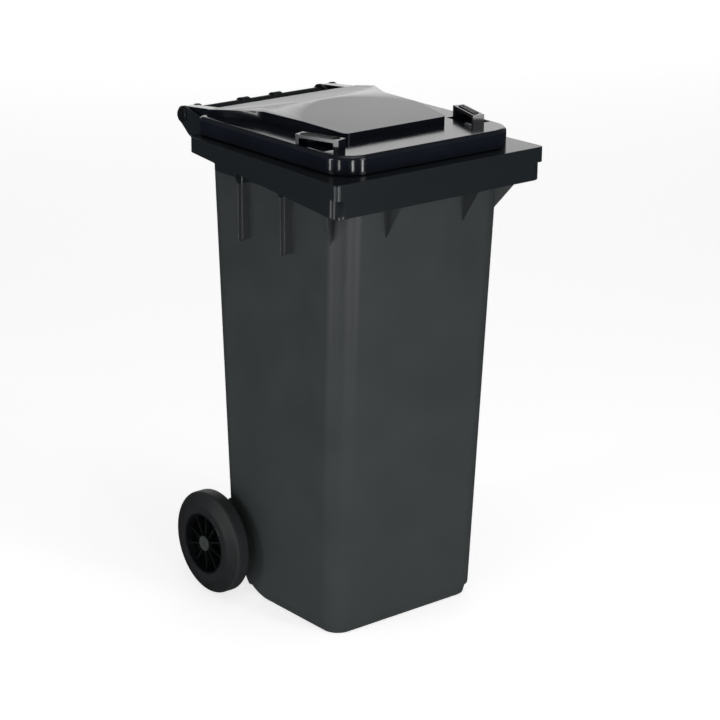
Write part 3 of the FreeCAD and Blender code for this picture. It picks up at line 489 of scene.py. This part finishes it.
def add_camera():
    """The camera, turned by yaw from +Y, pitched down, and rolled a little."""
    data = bpy.data.cameras.new("camera")
    data.lens = LENS_MM
    data.sensor_width = SENSOR_MM
    camera = bpy.data.objects.new("camera", data)
    bpy.context.scene.collection.objects.link(camera)
    forward = Vector((math.sin(YAW) * math.cos(PITCH), math.cos(YAW) * math.cos(PITCH), -math.sin(PITCH)))
    level_right = Vector((math.cos(YAW), -math.sin(YAW), 0))
    level_up = level_right.cross(forward)
    right = level_right * math.cos(ROLL) + level_up * math.sin(ROLL)
    up = level_up * math.cos(ROLL) - level_right * math.sin(ROLL)
    turned = Matrix((right, up, -forward)).transposed().to_4x4()
    camera.matrix_world = Matrix.Translation(CAMERA_PLACE) @ turned
    bpy.context.scene.camera = camera


add_camera()

bpy.ops.object.select_all(action="DESELECT")
bpy.ops.mesh.primitive_plane_add(size=60, location=(0, 0, 0))
floor = bpy.context.object
floor.name = "floor"
# The floor lights itself for the camera, and is dark in reflections, so that glossy faces stay deep.
floor_finish, floor_tree = new_material("pale_floor")
lit_floor = add(
    floor_tree, "BsdfPrincipled",
    {"Base Color": grey(0.8), "Roughness": 0.9, "Emission Color": grey(1.0), "Emission Strength": 0.7},
)
dim_floor = add(floor_tree, "BsdfDiffuse", {"Color": grey(0.06)})
floor_rays = add(floor_tree, "LightPath")
floor_shader = add(
    floor_tree, "MixShader",
    _0=floor_rays.outputs["Is Glossy Ray"], _1=lit_floor.outputs[0], _2=dim_floor.outputs[0],
)
finish_material(floor_tree, floor_shader)
floor.data.materials.append(floor_finish)


def softbox(name, place, target, width, height, power):
    """A rectangular studio light that points at a place."""
    data = bpy.data.lights.new(name, "AREA")
    data.shape = "RECTANGLE"
    data.size = width
    data.size_y = height
    data.energy = power
    light = bpy.data.objects.new(name, data)
    light.location = place
    light.rotation_mode = "QUATERNION"
    light.rotation_quaternion = (Vector(target) - Vector(place)).to_track_quat("-Z", "Y")
    light.visible_camera = False
    bpy.context.scene.collection.objects.link(light)


# The room is white where the camera sees it and dim as a source of light.
world = bpy.data.worlds.new("studio")
world.use_nodes = True
world_tree = world.node_tree
world_tree.nodes.clear()
rays = add(world_tree, "LightPath")
seen = add(world_tree, "Background", {"Color": grey(1.0), "Strength": 1.0})
room = add(world_tree, "Background", {"Color": grey(0.1), "Strength": 1.0})
mixed = add(
    world_tree, "MixShader", _0=rays.outputs["Is Camera Ray"], _1=room.outputs[0], _2=seen.outputs[0]
)
world_out = world_tree.nodes.new("ShaderNodeOutputWorld")
world_tree.links.new(mixed.outputs[0], world_out.inputs["Surface"])
bpy.context.scene.world = world
bpy.context.scene.view_settings.view_transform = "Standard"

# Each softbox: name, place, target, width, height in metres, power in watts.
softbox("backdrop", (4.5, 6.5, 2.4), (0, 0, 0.9), 8.0, 3.6, 110)
softbox("overhead", (0.2, -0.8, 4.2), (0, 0, 0), 3.0, 3.0, 28)
softbox("front", (1.2, -4.2, 2.2), (0, 0, 0.5), 1.4, 1.8, 22)
softbox("side", (-4.0, 0.6, 0.9), (0, 0, 0.4), 0.9, 1.2, 20)

# Narrow strips round the front left corner give the lid and the collar their crisp glints.
# Each strip: its direction from the corner along X and Y, its width in metres, its power in watts.
CORNER = Vector((-0.15, -0.19, 0.9))
STRIP_DISTANCE = 1.7
STRIP_DROP = 0.35
STRIP_HEIGHT = 0.8
STRIPS = (
    (-0.94, 0.26, 0.12, 2.5),
    (-0.91, -0.34, 0.12, 2.5),
    (-0.35, -0.91, 0.16, 4.5),
    (0.26, -0.94, 0.16, 4.5),
)
for number, (across, deep, width, power) in enumerate(STRIPS):
    stand = CORNER + Vector((across, deep, 0)) * STRIP_DISTANCE - Vector((0, 0, STRIP_DROP))
    softbox("strip_%d" % number, stand, CORNER, width, STRIP_HEIGHT, power)
